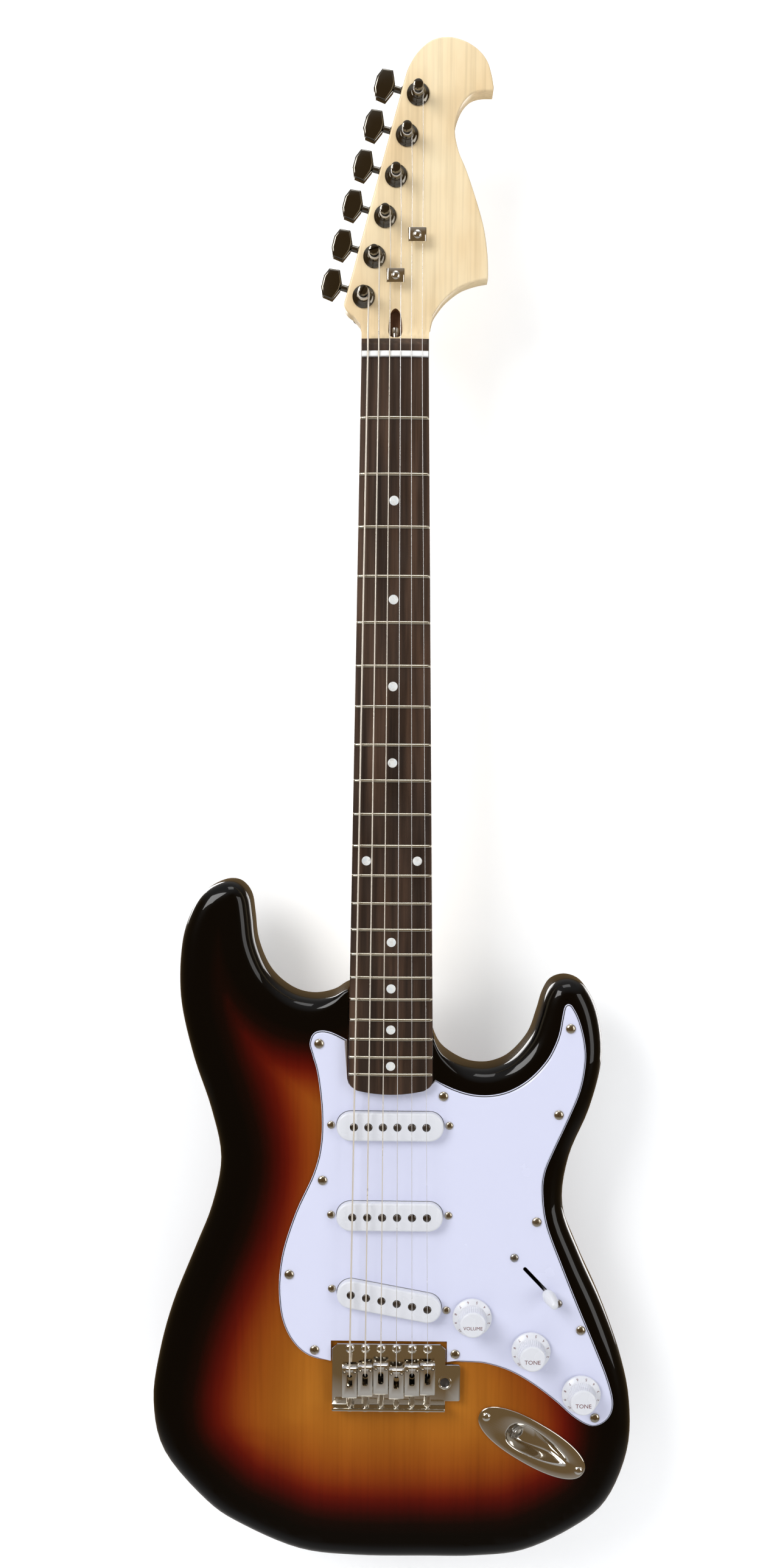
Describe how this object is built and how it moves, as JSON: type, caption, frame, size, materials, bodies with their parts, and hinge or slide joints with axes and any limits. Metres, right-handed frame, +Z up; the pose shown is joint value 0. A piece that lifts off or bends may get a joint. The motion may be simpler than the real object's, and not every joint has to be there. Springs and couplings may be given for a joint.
{
  "type": "electric guitar",
  "caption": "Double-cutaway solid-body electric guitar with a bolted maple neck, single-coil pickups on a white pickguard, knobs, selector and a sprung tremolo bridge",
  "frame": {"origin": "neck centre line at the nut, level with the front face of the body", "axes": "+Z up the neck to the headstock, +X to the treble side, -Y out of the front"},
  "size_m": [0.3275, 0.069, 0.9921],
  "materials": {
    "sunburst_lacquer": "glossy sunburst lacquer",
    "maple": "satin lacquer",
    "rosewood": "oiled",
    "nut_white": "satin",
    "steel": "plain",
    "chrome": "polished",
    "dark_chrome": "polished",
    "pickguard_white": "gloss, three ply",
    "white_plastic": "gloss",
    "black_plastic": "matt",
    "block_metal": "plated casting",
    "string_steel": "plain and wound"
  },
  "bodies": {
    "guitar": {"body": "sunburst_lacquer", "neck": "maple", "fingerboard": "rosewood", "nut": "nut_white", "truss_rod": "steel", "string_tree_low": "chrome", "string_tree_high": "chrome", "neck_plate": "chrome", "pickguard": "pickguard_white", "pickup_cover_neck": "white_plastic", "pickup_cover_middle": "white_plastic", "pickup_cover_bridge": "white_plastic", "pickup_coil_neck": "black_plastic", "pickup_coil_middle": "black_plastic", "pickup_coil_bridge": "black_plastic", "volume_pot": "steel", "tone_upper_pot": "steel", "tone_lower_pot": "steel", "switch_frame": "steel", "jack_plate": "chrome", "output_jack": "steel", "back_plate": "pickguard_white", "tremolo_springs": "steel", "tuner_housing_1": "dark_chrome", "string_1": "string_steel", "tuner_housing_2": "dark_chrome", "string_2": "string_steel", "tuner_housing_3": "dark_chrome", "string_3": "string_steel", "tuner_housing_4": "dark_chrome", "string_4": "string_steel", "tuner_housing_5": "dark_chrome", "string_5": "string_steel", "tuner_housing_6": "dark_chrome", "string_6": "string_steel"},
    "tremolo": {"bridge_plate": "chrome", "tremolo_block": "block_metal", "saddle_1": "chrome", "saddle_2": "chrome", "saddle_3": "chrome", "saddle_4": "chrome", "saddle_5": "chrome", "saddle_6": "chrome"},
    "volume_control": {"volume_knob": "white_plastic"},
    "tone_control_upper": {"tone_upper_knob": "white_plastic"},
    "tone_control_lower": {"tone_lower_knob": "white_plastic"},
    "selector": {"switch_lever": "steel", "switch_tip": "white_plastic"},
    "tuner_button_1": {"tuner_button_1": "dark_chrome"},
    "tuner_post_1": {"tuner_post_1": "dark_chrome"},
    "tuner_button_2": {"tuner_button_2": "dark_chrome"},
    "tuner_post_2": {"tuner_post_2": "dark_chrome"},
    "tuner_button_3": {"tuner_button_3": "dark_chrome"},
    "tuner_post_3": {"tuner_post_3": "dark_chrome"},
    "tuner_button_4": {"tuner_button_4": "dark_chrome"},
    "tuner_post_4": {"tuner_post_4": "dark_chrome"},
    "tuner_button_5": {"tuner_button_5": "dark_chrome"},
    "tuner_post_5": {"tuner_post_5": "dark_chrome"},
    "tuner_button_6": {"tuner_button_6": "dark_chrome"},
    "tuner_post_6": {"tuner_post_6": "dark_chrome"}
  },
  "joints": [
    {"name": "tremolo_tilt", "type": "hinge", "parent": "guitar", "child": "tremolo", "pos_m": [0, -0.0042, -0.6443], "axis": [-1, 0, 0], "range_deg": [0, 8], "stiffness_Nm_per_rad": 2, "springref_deg": -8.59, "deforming": ["string_1", "string_2", "string_3", "string_4", "string_5", "string_6", "tremolo_springs"]},
    {"name": "volume_turn", "type": "hinge", "parent": "guitar", "child": "volume_control", "pos_m": [0.056, -0.0026, -0.6226], "axis": [0, -1, 0], "range_deg": [-150, 150]},
    {"name": "tone_upper_turn", "type": "hinge", "parent": "guitar", "child": "tone_control_upper", "pos_m": [0.096, -0.0026, -0.6458], "axis": [0, -1, 0], "range_deg": [-150, 150]},
    {"name": "tone_lower_turn", "type": "hinge", "parent": "guitar", "child": "tone_control_lower", "pos_m": [0.1305, -0.0026, -0.6759], "axis": [0, -1, 0], "range_deg": [-150, 150]},
    {"name": "selector_rock", "type": "hinge", "parent": "guitar", "child": "selector", "pos_m": [0.0989, 0.02, -0.5971], "axis": [-0.7254, 0, -0.6884], "range_deg": [0, 45.4]},
    {"name": "tuner_1_wind", "type": "hinge", "parent": "guitar", "child": "tuner_button_1", "pos_m": [-0.03501, 0.0198, 0.04982], "axis": [-0.9641, 0, 0.2656], "continuous": true},
    {"name": "tuner_1_post", "type": "hinge", "parent": "guitar", "child": "tuner_post_1", "pos_m": [-0.0199, -0.0016, 0.0384], "axis": [0, -1, 0], "continuous": true},
    {"name": "tuner_2_wind", "type": "hinge", "parent": "guitar", "child": "tuner_button_2", "pos_m": [-0.0284, 0.0198, 0.07383], "axis": [-0.9641, 0, 0.2656], "continuous": true},
    {"name": "tuner_2_post", "type": "hinge", "parent": "guitar", "child": "tuner_post_2", "pos_m": [-0.01329, -0.0016, 0.06241], "axis": [0, -1, 0], "continuous": true},
    {"name": "tuner_3_wind", "type": "hinge", "parent": "guitar", "child": "tuner_button_3", "pos_m": [-0.02178, 0.0198, 0.09783], "axis": [-0.9641, 0, 0.2656], "continuous": true},
    {"name": "tuner_3_post", "type": "hinge", "parent": "guitar", "child": "tuner_post_3", "pos_m": [-0.00668, -0.0016, 0.08641], "axis": [0, -1, 0], "continuous": true},
    {"name": "tuner_4_wind", "type": "hinge", "parent": "guitar", "child": "tuner_button_4", "pos_m": [-0.01517, 0.0198, 0.12184], "axis": [-0.9641, 0, 0.2656], "continuous": true},
    {"name": "tuner_4_post", "type": "hinge", "parent": "guitar", "child": "tuner_post_4", "pos_m": [-0.00006, -0.0016, 0.11042], "axis": [0, -1, 0], "continuous": true},
    {"name": "tuner_5_wind", "type": "hinge", "parent": "guitar", "child": "tuner_button_5", "pos_m": [-0.00856, 0.0198, 0.14585], "axis": [-0.9641, 0, 0.2656], "continuous": true},
    {"name": "tuner_5_post", "type": "hinge", "parent": "guitar", "child": "tuner_post_5", "pos_m": [0.00655, -0.0016, 0.13442], "axis": [0, -1, 0], "continuous": true},
    {"name": "tuner_6_wind", "type": "hinge", "parent": "guitar", "child": "tuner_button_6", "pos_m": [-0.00195, 0.0198, 0.16985], "axis": [-0.9641, 0, 0.2656], "continuous": true},
    {"name": "tuner_6_post", "type": "hinge", "parent": "guitar", "child": "tuner_post_6", "pos_m": [0.01316, -0.0016, 0.15843], "axis": [0, -1, 0], "continuous": true}
  ],
  "couplings": [
    {"joint": "tuner_1_post", "follows": "tuner_1_wind", "ratio": 0.071429},
    {"joint": "tuner_2_post", "follows": "tuner_2_wind", "ratio": 0.071429},
    {"joint": "tuner_3_post", "follows": "tuner_3_wind", "ratio": 0.071429},
    {"joint": "tuner_4_post", "follows": "tuner_4_wind", "ratio": 0.071429},
    {"joint": "tuner_5_post", "follows": "tuner_5_wind", "ratio": 0.071429},
    {"joint": "tuner_6_post", "follows": "tuner_6_wind", "ratio": 0.071429}
  ]
}
